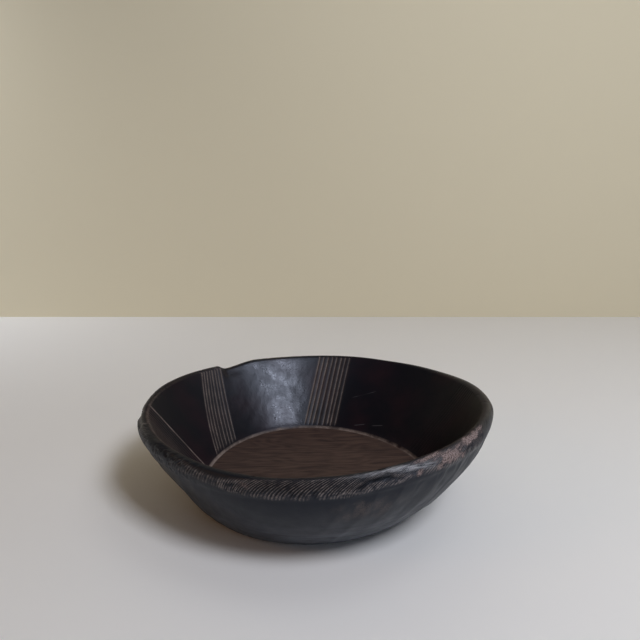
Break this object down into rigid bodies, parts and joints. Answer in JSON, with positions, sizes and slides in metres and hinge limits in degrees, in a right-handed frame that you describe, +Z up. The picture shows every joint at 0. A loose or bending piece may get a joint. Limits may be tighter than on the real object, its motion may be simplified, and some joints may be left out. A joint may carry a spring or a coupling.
{
  "type": "bowl",
  "caption": "Round shallow hand-carved wooden bowl with a thick rounded rim, sloping walls with groups of incised lines, a flat floor and a flat foot.",
  "frame": {"origin": "middle of the bowl's overall footprint, on the surface that the foot stands on", "axes": "+Z up out of the bowl's mouth; the chip in the rim lies in the quarter between -X and +Y, about 130 degrees round from +X"},
  "size_m": [0.304, 0.301, 0.0886],
  "materials": {
    "blackened_wood": "hand-rubbed satin, blackened and oiled hardwood"
  },
  "bodies": {
    "root": {"bowl": "blackened_wood"}
  },
  "joints": []
}
